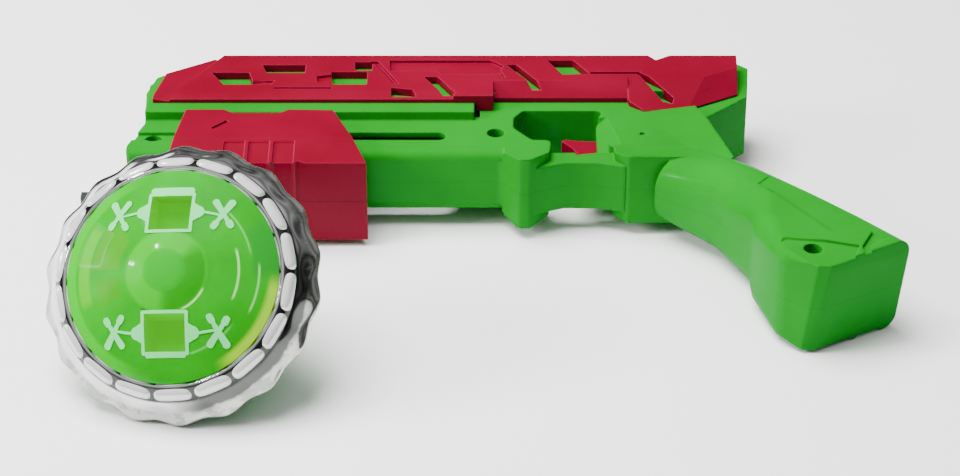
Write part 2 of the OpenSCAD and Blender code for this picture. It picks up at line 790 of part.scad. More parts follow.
module gear_pins() {
    color("silver") placed()
        for (x = gear_xs)
            translate([x, pin_low, mid_z])
                rotate([-90, 0, 0])
                    cylinder(r = pin_r, h = pin_top - pin_low);
}

module spindle() {
    color("whitesmoke") placed() {
        gear(spindle_x, gear_y, spindle_z, wheel_w, 180 / spindle_z);
        translate([spindle_x, fork_y - fork_t + 1.6, mid_z])
            rotate([-90, 0, 0])
                cylinder(r = spindle_r, h = gear_y + wheel_w + 0.6 - fork_y + fork_t - 1.6);
    }
}

module spindle_bushes() {
    color("gold") placed()
        for (y = [-pump_drop, wall - 3])
            translate([spindle_x, y, mid_z])
                rotate([-90, 0, 0])
                    difference() {
                        cylinder(r = bush_r, h = 3);
                        translate([0, 0, -1]) cylinder(r = spindle_r + run_gap, h = 5);
                    }
}

module launch_fork() {
    color("dimgray") placed()
        difference() {
            union() {
                translate([spindle_x, fork_y - fork_t, mid_z])
                    rotate([-90, 0, 0])
                        cylinder(r = 5.4, h = fork_t);
                translate([spindle_x - prong_r - prong_l / 2, fork_y - fork_t, mid_z - prong_w / 2])
                    cube([2 * prong_r + prong_l, fork_t - 0.6, prong_w]);
                for (s = [-1, 1])
                    translate([spindle_x + s * prong_r, fork_y - fork_t + eps, mid_z])
                        rotate([90, 0, 0])
                            prong();
            }
            translate([spindle_x, fork_y - fork_t + 1.6, mid_z])
                rotate([-90, 0, 0])
                    cylinder(r = spindle_r, h = fork_t);
            translate([spindle_x, fork_y - fork_t - 1, mid_z])
                rotate([-90, 0, 0])
                    cylinder(r = 1.1, h = fork_t);
        }
}

// One prong with a ramp on its trailing flank, so that the top lets go by itself
module prong() {
    translate([0, prong_w / 2, 0])
        rotate([90, 0, 0])
            linear_extrude(prong_w)
                polygon([[-prong_l / 2, 0], [prong_l / 2, 0],
                         [prong_l / 2 - 0.6, prong_h], [-prong_l / 2 + 2.4, prong_h]]);
}

module fork_screw() {
    color("silver") placed()
        translate([spindle_x, fork_y - fork_t, mid_z])
            rotate([90, 0, 0])
                difference() {
                    union() {
                        translate([0, 0, -1.6]) cylinder(r = 1.1, h = 2);
                        cylinder(r = 2.2, h = 1.4);
                    }
                    translate([0, 0, 0.7]) cylinder(r = 0.9, h = 2, $fn = 6);
                }
}

// Rack, arm and latch tail, carried by the pump's keys
module rack_carriage() {
    rack_from = rear_gear_x - pump_travel - 1.5 * PI * gear_m;
    color("whitesmoke") placed() {
        translate([0, rack_y + rack_h, 0])
            rotate([90, 0, 0])
                linear_extrude(rack_h)
                    rack_outline(rack_from, arm_x, mid_z - rack_pr);
        // arm and latch tail
        slab(2 * carriage_z)
            polygon([[arm_x, rack_y], [arm_x + key_l + 0.4, rack_y],
                     [arm_x + key_l + 0.4, spring_y + spring_r + 2],
                     [arm_x + arm_t, spring_y + spring_r + 6], [arm_x + arm_t, tail_y + tail_h],
                     [arm_x, tail_y + tail_h]]);
        slab(5.2)
            polygon([[arm_x + 1, tail_y], [tail_end - 2.4, tail_y], [tail_end - 2.4, tail_y - 2.6],
                     [tail_end - 0.8, tail_y - 2.6], [tail_end, tail_y - 1.4], [tail_end, tail_y + tail_h],
                     [arm_x + 1, tail_y + tail_h]]);
    }
}

module rack_outline(x0, x1, z_pitch) {
    pitch = PI * gear_m;
    lean = tan(pressure);
    half_t = pitch / 4 - backlash / 2;
    first = -floor((rear_gear_x - x0) / pitch);
    translate([0, z_pitch])
        polygon(concat(
            [[x0 - 1.5, -dedendum - 2], [x1 + eps, -dedendum - 2], [x1 + eps, -dedendum]],
            [for (i = [1 : -1 : first]) let (c = rear_gear_x + i * pitch)
                each [[c + half_t + dedendum * lean, -dedendum], [c + half_t - addendum * lean, addendum],
                      [c - half_t + addendum * lean, addendum], [c - half_t - dedendum * lean, -dedendum]]],
            [[x0 - 1.5, -dedendum]]));
}

// One unbroken coil of wire about X, from one end to the other
module coil(len, r, wire, turns, steps) {
    n = turns * steps;
    echo(least_gap_between_loops = (len - wire) / turns - wire);
    sides = 6;
    pts = [for (i = [0 : n], j = [0 : sides - 1])
        let (a = 360 * i / steps, q = r + wire / 2 * cos(360 * j / sides))
        [wire / 2 + (len - wire) * i / n + wire / 2 * sin(360 * j / sides), q * cos(a), q * sin(a)]];
    skin = [for (i = [0 : n - 1], j = [0 : sides - 1])
        let (k = (j + 1) % sides, b = i * sides)
        each [[b + j, b + sides + j, b + k], [b + k, b + sides + j, b + sides + k]]];
    polyhedron(points = pts,
               faces = concat([[for (j = [0 : sides - 1]) j]], skin,
                              [[for (j = [sides - 1 : -1 : 0]) n * sides + j]]));
}

module drive_spring() {
    x0 = arm_x + key_l + 0.5;
    color("silver") placed()
        translate([x0, spring_y, mid_z])
            coil(spring_end - 0.1 - x0, spring_r, spring_wire, spring_turns, 16);
}

// Crescent blade and stem, with the ramp post that lifts the sear
module trigger() {
    x0 = open_back;
    ramp = sear_lift / trigger_travel;
    tip_x = sear_at[0] + sear_tail;
    top_y = sear_tip_y - slide_gap;
    color("crimson") placed() {
        slab(trigger_t)
            polygon([[x0 - 9.4, 16.4], [x0 - 8.4, 17.4], [x0 - 5.4, 16.6], [x0 - 1.4, 16.2],
                     [x0 + 8.2, 16.2], [x0 + 8.2, 6.4], [x0 - 1, 6.4], [x0 - 1.2, 5.2],
                     [x0 - 4.4, 4.4], [x0 - 5.4, 5.6], [x0 - 5.2, 9], [x0 - 6.6, 12.6]]);
        slab(4.8)
            polygon([[post_x, 13.2], [post_x + post_w, 13.2],
                     [post_x + post_w, top_y - (post_x + post_w - tip_x) * ramp],
                     [post_x, top_y + (tip_x - post_x) * ramp]]);
    }
}

module trigger_spring() {
    color("silver") placed()
        translate([open_back + 8.3, 10, mid_z])
            coil(spring_back - open_back - 8.4, 2.2, 0.6, 6, 16);
}

module sear() {
    x = sear_at[0];
    y = sear_at[1];
    near = post_x - 1.5;
    tip = x + sear_tail;
    under = sear_tip_y + (tip - post_x) * sear_lift / trigger_travel + 0.1;
    color("white") placed()
        difference() {
            union() {
                translate([x, y, mid_z - 2]) cylinder(r = 3, h = 4);
                slab(4)
                    polygon([[x - sear_nose, y + 2.3], [x - sear_nose, y - 1.4], [x - 3, y - 2.4],
                             [x + 3, y - 2.6], [near - 1.6, y - 2.7], [near, under], [tip, under],
                             [tip, sear_tip_y], [tip + 1.6, sear_tip_y], [tip + 1.6, y + 1],
                             [x + 2, y + 2.6], [x - 2, y + 2.6],
                             [x - sear_nose + 2, y + 0.8], [x - sear_nose + 2, y + 2.3]]);
            }
            translate([x, y, mid_z - 5])
                cylinder(r = pin_r + run_gap, h = 10);
        }
}

module sear_pin() {
    color("silver") placed()
        translate([sear_at[0], sear_at[1], mid_z - cav_z + 0.2])
            cylinder(r = pin_r, h = 2 * cav_z - 0.4);
}

// The top is drawn standing on its tip, then laid as it rests
module laid() {
    placed()
        translate(flange_at)
            rotate(-top_turn)
                rotate([90 - top_lean, 0, 0])
                    translate([0, 0, -flange_z])
                        children();
}

// Lobed disc that widens or narrows to another radius
module lobed(z, h, r, top_r, depth, power) {
    translate([0, 0, z]) linear_extrude(h, scale = top_r / r) polygon(lobe_ring(r, depth, power));
}

module top_ring() {
    skirt_h = lip_rise - flange_h - bead_h;
    bead_z = lip_z - bead_h;
    color("silver") laid()
        difference() {
            union() {
                lobed(flange_z, flange_h, ring_r, ring_r, scallop, 2);
                lobed(flange_z + flange_h, skirt_h, ring_r - 0.6, bead_r - 1, scallop, 2);
                lobed(bead_z, bead_h / 2, bead_r - 0.6, bead_r + 0.2, bead_notch, 0.6);
                lobed(bead_z + bead_h / 2, bead_h / 2, bead_r + 0.2, ring_in + 1, bead_notch, 0.6);
            }
            translate([0, 0, flange_z - 1]) cylinder(r = ring_in - 1.6, h = lip_rise + 2, $fn = 96);
            translate([0, 0, dome_z]) cylinder(r = ring_in, h = 10, $fn = 96);
            translate([0, 0, flange_z - 1])
                cylinder(r = base_r + 0.3, h = base_top - flange_z + 1, $fn = 96);
            for (a = [0 : 120 : 240])
                rotate(a + 90)
                    translate([top_screw_at, 0, flange_z]) cylinder(r = screw_r, h = 4.4);
        }
}

// Outlines of the two windows that take the launcher's prongs
module sockets(grow) {
    rotate(window_turn)
        for (s = [-1, 1])
            translate([-prong_w / 2 - grow, s * prong_r - prong_l / 2 - grow])
                square([prong_w + 2 * grow, prong_l + 2 * grow]);
}

// Section of the dome with its bump, inset by a wall
module dome_outline(inset) {
    intersection() {
        union() {
            square([dome_r - inset, dome_rim]);
            translate([0, dome_rim + dome_h - dome_curve]) circle(r = dome_curve - inset, $fn = 240);
            translate([0, dome_rim + dome_h + bump_h - bump_curve])
                circle(r = bump_curve - inset, $fn = 120);
        }
        square([dome_r - inset, 20]);
    }
}

module top_dome() {
    color([0.3, 0.9, 0.2, 0.7]) laid()
        translate([0, 0, dome_z])
            difference() {
                union() {
                    rotate_extrude($fn = 96)
                        difference() {
                            dome_outline(0);
                            translate([0, -eps]) dome_outline(dome_wall);
                        }
                    // pockets that take the launcher's prongs
                    intersection() {
                        translate([0, 0, -pocket_drop - pocket_t])
                            linear_extrude(20) sockets(socket_gap + pocket_t);
                        translate([0, 0, -8]) cylinder(r = dome_r - dome_wall / 2, h = 8 + dome_rim);
                    }
                    intersection() {
                        translate([0, 0, dome_rim - eps]) linear_extrude(20) sockets(socket_gap + pocket_t);
                        rotate_extrude($fn = 96) dome_outline(dome_wall / 2);
                    }
                }
                translate([0, 0, -pocket_drop]) linear_extrude(20) sockets(socket_gap);
            }
}

// Thin pale frames printed round the windows, with small side tabs
module window_frames() {
    color("palegreen") laid()
        translate([0, 0, dome_z])
            difference() {
                intersection() {
                    rotate_extrude($fn = 96) dome_outline(-frame_h);
                    linear_extrude(20) {
                        sockets(socket_gap + frame_w);
                        rotate(window_turn)
                            for (s = [-1, 1])
                                translate([0, s * prong_r])
                                    polygon([[-tab_x, -1.6], [-tab_x, 1.6], [-4, 3.4], [4, 3.4],
                                             [tab_x, 1.6], [tab_x, -1.6], [4, -3.4], [-4, -3.4]]);
                    }
                }
                rotate_extrude($fn = 96) dome_outline(0);
                translate([0, 0, -1]) linear_extrude(30) sockets(socket_gap);
            }
}

module top_base() {
    color("forestgreen") laid()
        difference() {
            rotate_extrude($fn = 96)
                polygon([[0, bush_z - 0.2], [5.4, bush_z - 0.2], [7.6, 7.6], [11.6, 12], [17.9, 18.6],
                         [26.6, flange_z - 5.6], [base_r, flange_z - 2.4], [base_r, base_top],
                         [ring_in - 2, base_top], [ring_in - 2, base_top + 2.2],
                         [ring_in - 4, base_top + 2.2], [ring_in - 4, flange_z - 3.4],
                         [board_r + 1.4, lid_z], [0, lid_z]]);
            translate([0, 0, bush_z - 1]) cylinder(r = bush_r_top, h = bush_h + 1);
            translate([0, 0, bush_z]) cylinder(r = tip_r + 0.6, h = bush_h + 1);
            for (a = [0 : 120 : 240])
                rotate(a + 90)
                    translate([top_screw_at, 0, top_screw_z]) {
                        cylinder(r = screw_r + 0.15, h = 8);
                        translate([0, 0, -8]) cylinder(r = hole_r, h = 8);
                    }
            for (a = [30 : 120 : 270])
                rotate(a) translate([cell_at, 0, cell_z]) cylinder(r = cell_r + 0.3, h = cell_h + 2);
        }
}

module tip_bush() {
    color("gold") laid()
        translate([0, 0, bush_z])
            difference() {
                cylinder(r = bush_r_top, h = bush_h);
                translate([0, 0, -1]) cylinder(r = tip_r + run_gap, h = bush_h + 2);
            }
}

module tip_pin() {
    color("silver") laid() {
        translate([0, 0, tip_r]) sphere(r = tip_r);
        translate([0, 0, tip_r]) cylinder(r = tip_r, h = bush_z + bush_h - tip_r);
        translate([0, 0, bush_z - 1.1]) cylinder(r = tip_r + 1.2, h = 0.8);
    }
}

module button_cells() {
    color("silver") laid()
        for (a = [30 : 120 : 270])
            rotate(a) translate([cell_at, 0, cell_z]) cylinder(r = cell_r, h = cell_h);
}

module cell_lid() {
    color("black") laid()
        translate([0, 0, lid_z]) cylinder(r = board_r + 0.6, h = lid_t);
}

module light_board() {
    color("green") laid()
        translate([0, 0, board_z])
            difference() {
                cylinder(r = board_r, h = board_t);
                for (a = [90, 270])
                    rotate(a) translate([11, 0, -1]) cylinder(r = 1.4, h = 4);
            }
}

module lights() {
    color("white") laid()
        for (a = [0 : 120 : 240])
            rotate(a) translate([9, 0, board_z + board_t]) {
                cylinder(r = 2.5, h = 5);
                translate([0, 0, 5]) sphere(r = 2.5);
            }
}

module top_screws() {
    color("silver") laid()
        for (a = [0 : 120 : 240])
            rotate(a + 90)
                translate([top_screw_at, 0, top_screw_z - 1.8]) {
                    cylinder(r = screw_r, h = flange_z + 4 - top_screw_z + 1.8);
                    cylinder(r = screw_head_r, h = 1.8);
                }
}

upper_shell();
lower_shell();
upper_cover();
lower_cover();
body_screws();
pump_upper();
pump_lower();
pump_screws();
rack_carriage();
drive_spring();
rear_gear();
middle_gear();
front_gear();
gear_pins();
spindle();
spindle_bushes();
launch_fork();
fork_screw();
trigger();
trigger_spring();
sear();
sear_pin();
top_ring();
top_dome();
window_frames();
top_base();
tip_bush();
tip_pin();
light_board();
lights();
button_cells();
cell_lid();
top_screws();
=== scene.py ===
import json
import math
import bmesh
import bpy
from mathutils import Matrix, Vector


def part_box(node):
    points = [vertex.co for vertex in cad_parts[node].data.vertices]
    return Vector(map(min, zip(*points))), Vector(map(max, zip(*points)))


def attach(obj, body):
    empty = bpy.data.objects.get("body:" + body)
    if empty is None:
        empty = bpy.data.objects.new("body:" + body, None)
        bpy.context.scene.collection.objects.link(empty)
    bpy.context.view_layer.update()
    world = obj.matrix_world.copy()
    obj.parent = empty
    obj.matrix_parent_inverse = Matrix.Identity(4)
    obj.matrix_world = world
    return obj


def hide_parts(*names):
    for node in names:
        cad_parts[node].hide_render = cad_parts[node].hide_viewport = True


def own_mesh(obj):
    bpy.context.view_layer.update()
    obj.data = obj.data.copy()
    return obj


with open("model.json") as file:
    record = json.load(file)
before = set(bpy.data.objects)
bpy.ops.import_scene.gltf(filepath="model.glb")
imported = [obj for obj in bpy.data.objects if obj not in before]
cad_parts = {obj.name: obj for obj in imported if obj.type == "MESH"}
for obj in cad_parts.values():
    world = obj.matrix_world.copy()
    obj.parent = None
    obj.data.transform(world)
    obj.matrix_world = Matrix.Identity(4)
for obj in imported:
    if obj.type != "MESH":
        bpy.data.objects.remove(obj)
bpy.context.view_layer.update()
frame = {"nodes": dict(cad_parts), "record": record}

MM = 0.001

# Where the launcher's own corner lies in the frame: its nose, underside and table
NOSE = Vector(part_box("spindle_bushes")[0]) + Vector((-4.2, 10.5, 0)) * MM
NOSE.z = 0
NODES = frame["nodes"]
JOINTS = {j["name"]: j for j in frame["record"]["behaviour"]["joints"]}

# The launcher, in millimetres from that corner
OPENING_BACK = 126.8
BUTT_CORNER = (178.24, -68.4, 13.5)
SEAM_Z = 13.75

# The top's own axes: its tip is the origin, +Z runs up through the dome
FLANGE_Z = 35.2
SPIN = Vector(JOINTS["top_spin"]["axis"]).normalized()
SIDE = Vector((-SPIN.y, SPIN.x, 0)).normalized()
TOP = Matrix((SIDE, SPIN.cross(SIDE), SPIN)).transposed().to_4x4()
TOP.translation = Vector(JOINTS["top_spin"]["pos_m"]) - SPIN * FLANGE_Z * MM

# The dome, in millimetres: its foot, its upright rim and the bulge over it
DOME_R = 26.3
DOME_Z = 43.3
DOME_RIM = 1.6
DOME_H = 6.5
DOME_CURVE = (DOME_R ** 2 + DOME_H ** 2) / (2 * DOME_H)
DOME_CROWN = DOME_Z + DOME_RIM + DOME_H

# The two windows in the dome, on a line through its middle that is turned a little
WINDOW_TURN = math.radians(8)
WINDOW_AT = 14.7
WINDOW_SIZE = (10.02, 8.82)
GLOW_HALF = (5.1, 4.5)

# The pale prints. Each stroke has a start and an end, measured from a window's middle,
# its width, and its width at the end where that is another one
PRINT_HEIGHT = 0.22
PRINT_DEPTH = 0.15
CROSS = (
    ((10.9, -3.6), (14.6, 2.6), 0.8, 1.9), ((14.8, -3.2), (10.9, 2.7), 0.8, 1.7),
    ((12.6, -0.7), (7.6, 0.2), 0.55, 0.7), ((10.9, -3.6), (11.3, -2.9), 1.7),
    ((14.8, -3.2), (14.4, -2.5), 1.7))
FRAME_HALF = (5.4, 4.8)
FRAME_LINE = 0.85
FRAME_TAB = ((5.9, 0.1), (6.8, 0.1), 5.2, 3.2)
BAND_SHORTER = 0.9

# The ring, as radii and heights over the tip, and the lobes of its skirt
LOBES = 18
SKIRT_R = 29.5
RING_PROFILE = [
    (26.6, 43.3), (26.6, 44.6), (26.8, 45.0), (27.6, 45.0), (29.3, 43.6), (29.9, 42.4),
    (30.3, 41.9), (31.2, 41.3), (32.6, 39.4), (33.9, 37.7), (34.7, 36.9), (35.2, 36.5),
    (35.3, 35.9), (35.1, 35.35), (34.6, 35.2), (31.3, 35.2), (31.1, 35.4), (31.1, 36.8),
    (25.2, 36.8), (25.0, 37.0), (25.0, 43.1), (25.2, 43.3)]
# Each wave: how deep the hollows between the lobes are, from a height to another
RING_WAVES = ((0.020, 40.5, 42.2), (0.034, 38.5, 40.5), (0.046, 34.9, 38.5))

# One long bead over each lobe, bent a little at its ends
BEAD_AT = (28.05, 0, 42.98)
BEAD_SIZE = (4.9, 10.1, 4.22)
BEAD_ROUND = 1.8
BEAD_END = 2.8
BEAD_BEND = (-0.4, 0, -0.2)
FIRST_BEAD = -80

# The camera: a long lens that looks down on the table
CAMERA_TARGET = (95, -28, 13)
CAMERA_PITCH = math.radians(31)
CAMERA_DISTANCE = 0.677
CAMERA_LENS = 97.5
CAMERA_SENSOR = 36


def at(x, y, z=0.0):
    """A point in millimetres from the launcher's corner, in the frame's metres."""
    return NOSE + Vector((x, y, z)) * MM


# Small tools of the bench

def only(obj):
    """Selects this object alone and makes it active."""
    for other in bpy.context.selected_objects:
        other.select_set(False)
    obj.select_set(True)
    bpy.context.view_layer.objects.active = obj


def edit(piece):
    """Opens a piece for work on its mesh."""
    only(piece)
    bpy.ops.object.mode_set(mode="EDIT")


def done():
    """Closes the piece that is open."""
    bpy.ops.object.mode_set(mode="OBJECT")


def settle(piece):
    """Puts a piece's place, turn and size into its mesh."""
    only(piece)
    bpy.ops.object.transform_apply(location=True, rotation=True, scale=True)


def lay(piece):
    """Puts a piece that was made in the top's own axes where the top lies."""
    piece.matrix_world = TOP
    settle(piece)


def pick(piece, test):
    """Selects, in edit mode, the corners that pass a test on their place in millimetres."""
    mesh = bmesh.from_edit_mesh(piece.data)
    bpy.ops.mesh.select_all(action="DESELECT")
    for vert in mesh.verts:
        vert.select = bool(test(vert.co / MM))
    mesh.select_flush(True)
    bmesh.update_edit_mesh(piece.data)


def cut(piece, other, operation):
    """A boolean with another piece, which is used up."""
    only(piece)
    knife = piece.modifiers.new("cut", "BOOLEAN")
    knife.operation = operation
    knife.solver = "EXACT"
    knife.object = other
    bpy.ops.object.modifier_apply(modifier=knife.name)
    bpy.data.objects.remove(other)


def join(name, pieces):
    """Makes several pieces one."""
    only(pieces[0])
    for piece in pieces[1:]:
        piece.select_set(True)
    bpy.ops.object.join()
    pieces[0].name = name
    return pieces[0]


def turned_copies(piece, turns):
    """Copies a piece about the top's axis, each copy with its own mesh."""
    copies = []
    for turn in turns:
        copy = bpy.data.objects.new(piece.name + "_copy", piece.data.copy())
        bpy.context.scene.collection.objects.link(copy)
        copy.matrix_world = Matrix.Rotation(turn, 4, "Z")
        settle(copy)
        copies.append(copy)
    bpy.data.objects.remove(piece)
    return copies


def subdivide(piece):
    """Rounds a piece by two levels of subdivision."""
    only(piece)
    finer = piece.modifiers.new("finer", "SUBSURF")
    finer.levels = finer.render_levels = 2
    bpy.ops.object.modifier_apply(modifier=finer.name)


def smooth(piece, angle=33):
    """Smooth shading that keeps large faces flat and edges sharp."""
    only(piece)
    bpy.ops.object.shade_smooth_by_angle(angle=math.radians(angle))
    even = piece.modifiers.new("even", "WEIGHTED_NORMAL")
    even.keep_sharp = True
    even.weight = 80
    bpy.ops.object.modifier_apply(modifier=even.name)


def merged_copy(node, name):
    """A copy of a CAD node with its loose triangles joined at their corners."""
    piece = bpy.data.objects.new(name, NODES[node].data.copy())
    bpy.context.scene.collection.objects.link(piece)
    piece.data.materials.clear()
    edit(piece)
    bpy.ops.mesh.select_all(action="SELECT")
    bpy.ops.mesh.remove_doubles(threshold=0.000004)
    done()
    return piece


def flatten(piece):
    """Joins coplanar triangles into whole faces."""
    edit(piece)
    bpy.ops.mesh.select_all(action="SELECT")
    bpy.ops.mesh.dissolve_limited(angle_limit=math.radians(0.6))
    done()


def lathe(name, profile, sides):
    """Draws a closed ring out along a profile of (radius, height) points in millimetres."""
    radius, height = profile[0]
    bpy.ops.mesh.primitive_circle_add(
        vertices=sides, radius=radius * MM, location=(0, 0, height * MM))
    piece = bpy.context.active_object
    piece.name = name
    settle(piece)
    edit(piece)
    bpy.ops.mesh.select_all(action="SELECT")
    for next_radius, next_height in [*profile[1:], profile[0]]:
        bpy.ops.mesh.extrude_region_move(
            TRANSFORM_OT_translate={"value": (0, 0, (next_height - height) * MM)})
        grow = next_radius / radius
        bpy.ops.transform.resize(value=(grow, grow, 1), center_override=(0, 0, 0))
        radius, height = next_radius, next_height
    bpy.ops.mesh.select_all(action="SELECT")
    bpy.ops.mesh.remove_doubles(threshold=0.000002)
    bpy.ops.mesh.normals_make_consistent(inside=False)
    done()
    return piece


def finish_piece(piece, material, slot, body, *nodes):
    """Gives a piece its material and body, and lets it stand for CAD nodes."""
    piece.data.materials.clear()
    piece.data.materials.append(material)
    if nodes:
        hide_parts(*nodes)
    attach(piece, body)


# Nodes that the materials are put together from

def new_material(name):
    mat = bpy.data.materials.new(name)
    mat.use_nodes = True
    tree = mat.node_tree
    return mat, tree, tree.nodes["Principled BSDF"]


def coordinates(tree):
    return tree.nodes.new("ShaderNodeTexCoord").outputs["Object"]


def noise(tree, vector, scale, detail=3.0, rough=0.55):
    node = tree.nodes.new("ShaderNodeTexNoise")
    node.inputs["Scale"].default_value = scale
    node.inputs["Detail"].default_value = detail
    node.inputs["Roughness"].default_value = rough
    tree.links.new(vector, node.inputs["Vector"])
    return node.outputs["Fac"]


def ramp(tree, fac, stops):
    """A colour ramp with (place, colour) stops."""
    node = tree.nodes.new("ShaderNodeValToRGB")
    marks = node.color_ramp.elements
    while len(marks) < len(stops):
        marks.new(0.5)
    for mark, (place, colour) in zip(marks, stops):
        mark.position = place
        mark.color = (*colour, 1.0)
    tree.links.new(fac, node.inputs["Fac"])
    return node.outputs["Color"]


def levels(tree, fac, low, high):
    """Maps 0..1 onto low..high."""
    node = tree.nodes.new("ShaderNodeMapRange")
    node.inputs["To Min"].default_value = low
    node.inputs["To Max"].default_value = high
    tree.links.new(fac, node.inputs["Value"])
    return node.outputs["Result"]


def bump(tree, shader, height, strength, distance, edge_radius=0.0):
    """Fine relief on the shader's normal, over softly rounded edges."""
    node = tree.nodes.new("ShaderNodeBump")
    node.inputs["Strength"].default_value = strength
    node.inputs["Distance"].default_value = distance
    tree.links.new(height, node.inputs["Height"])
    if edge_radius:
        edge = tree.nodes.new("ShaderNodeBevel")
        edge.samples = 4
        edge.inputs["Radius"].default_value = edge_radius
        tree.links.new(edge.outputs["Normal"], node.inputs["Normal"])
    tree.links.new(node.outputs["Normal"], shader.inputs["Normal"])
    tree.links.new(node.outputs["Normal"], shader.inputs["Coat Normal"])


def value(tree, operation, first, second=None):
    """One step of arithmetic on numbers or other nodes' results."""
    node = tree.nodes.new("ShaderNodeMath")
    node.operation = operation
    for socket, given in zip(node.inputs, (first, second)):
        if isinstance(given, (int, float)):
            socket.default_value = given
        elif given is not None:
            tree.links.new(given, socket)
    return node.outputs["Value"]


def times(tree, first, second):
    return value(tree, "MULTIPLY", first, second)


def blend_colour(tree, share, under, over):
    node = tree.nodes.new("ShaderNodeMix")
    node.data_type = "RGBA"
    tree.links.new(share, node.inputs[0])
    for socket, given in ((node.inputs[6], under), (node.inputs[7], over)):
        if isinstance(given, tuple):
            socket.default_value = (*given, 1.0)
        else:
            tree.links.new(given, socket)
    return node.outputs[2]


def soft_band(tree, amount, middle, half, edge):
    """1 within half of the middle, fading to 0 over an edge."""
    off = value(tree, "ABSOLUTE", value(tree, "SUBTRACT", amount, middle))
    node = tree.nodes.new("ShaderNodeMapRange")
    node.interpolation_type = "SMOOTHSTEP"
    node.inputs["From Min"].default_value = half + edge
    node.inputs["From Max"].default_value = half
    tree.links.new(off, node.inputs["Value"])
    return node.outputs["Result"]


def edge_share(tree, reach):
    """1 on a sharp edge that stands out, fading to 0 away from it."""
    edge = tree.nodes.new("ShaderNodeBevel")
    edge.samples = 6
    edge.inputs["Radius"].default_value = reach
    flat = tree.nodes.new("ShaderNodeNewGeometry")
    dot = tree.nodes.new("ShaderNodeVectorMath")
    dot.operation = "DOT_PRODUCT"
    tree.links.new(edge.outputs["Normal"], dot.inputs[0])
    tree.links.new(flat.outputs["Normal"], dot.inputs[1])
    share = tree.nodes.new("ShaderNodeMapRange")
    share.inputs["From Min"].default_value = 0.985
    share.inputs["From Max"].default_value = 0.86
    tree.links.new(dot.outputs["Value"], share.inputs["Value"])
    return share.outputs["Result"]


def face_coordinates(tree):
    """The place in the top's own axes, in millimetres, and its X and Y by themselves."""
    back = TOP.inverted()
    mapping = tree.nodes.new("ShaderNodeMapping")
    mapping.inputs["Location"].default_value = back.translation / MM
    mapping.inputs["Rotation"].default_value = back.to_euler()
    mapping.inputs["Scale"].default_value = (1 / MM, 1 / MM, 1 / MM)
    tree.links.new(coordinates(tree), mapping.inputs["Vector"])
    split = tree.nodes.new("ShaderNodeSeparateXYZ")
    tree.links.new(mapping.outputs["Vector"], split.inputs["Vector"])
    return mapping.outputs["Vector"], split.outputs["X"], split.outputs["Y"]


def polar(tree, x, y):
    """Distance from the top's axis, and the angle in degrees from its right and its left side."""
    radius = value(tree, "SQRT", value(tree, "ADD", times(tree, x, x), times(tree, y, y)))
    from_right = times(tree, value(tree, "ARCTAN2", y, x), 180 / math.pi)
    from_left = times(tree, value(tree, "ARCTAN2", y, times(tree, x, -1)), 180 / math.pi)
    return radius, from_right, from_left


# Materials

def moulded_plastic(name, colour, pale, rough=0.32, edge_radius=0.5, coat=0.0, seam=0.0, painted_edge_highlight=None):
    """Injection moulded plastic: slow colour drift, faint orange peel, scuffed gloss
    and, where two halves meet, the fine dark line of their seam. Edges that stand out
    can get a paler painted highlight."""
    mat, tree, shader = new_material(name)
    vector = coordinates(tree)
    tone = ramp(tree, noise(tree, vector, 28.0, 4.0), [(0.32, colour), (0.72, pale)])
    # painted highlight: edges that stand out are made paler
    if painted_edge_highlight:
        tone = blend_colour(tree, times(tree, edge_share(tree, 0.5 * MM), 0.6), tone, painted_edge_highlight)
    if seam:
        split = tree.nodes.new("ShaderNodeSeparateXYZ")
        tree.links.new(vector, split.inputs["Vector"])
        line = soft_band(tree, split.outputs["Z"], SEAM_Z * MM, 0.06 * MM, 0.10 * MM)
        dark = tuple(part * 0.35 for part in colour)
        tone = blend_colour(tree, times(tree, line, seam), tone, dark)
    scuff = noise(tree, vector, 420.0, 6.0, 0.7)
    peel = noise(tree, vector, 900.0, 2.0)
    tree.links.new(tone, shader.inputs["Base Color"])
    tree.links.new(levels(tree, scuff, rough - 0.07, rough + 0.13), shader.inputs["Roughness"])
    bump(tree, shader, peel, 0.12, 0.12 * MM, edge_radius * MM)
    shader.inputs["IOR"].default_value = 1.07
    shader.inputs["Specular IOR Level"].default_value = 0.1
    shader.inputs["Coat Weight"].default_value = coat
    shader.inputs["Coat Roughness"].default_value = 0.12
    shader.inputs["Coat IOR"].default_value = 1.4
    return mat


def steel(name, colour, rough=0.3):
    """Plated or drawn steel with fine brushing."""
    mat, tree, shader = new_material(name)
    vector = coordinates(tree)
    grain = noise(tree, vector, 1500.0, 3.0)
    stain = noise(tree, vector, 260.0, 4.0)
    tone = ramp(tree, stain, [(0.3, [c * 0.8 for c in colour]), (0.75, colour)])
    tree.links.new(tone, shader.inputs["Base Color"])
    tree.links.new(levels(tree, grain, rough - 0.08, rough + 0.12), shader.inputs["Roughness"])
    bump(tree, shader, grain, 0.1, 0.05 * MM)
    shader.inputs["Metallic"].default_value = 1.0
    return mat


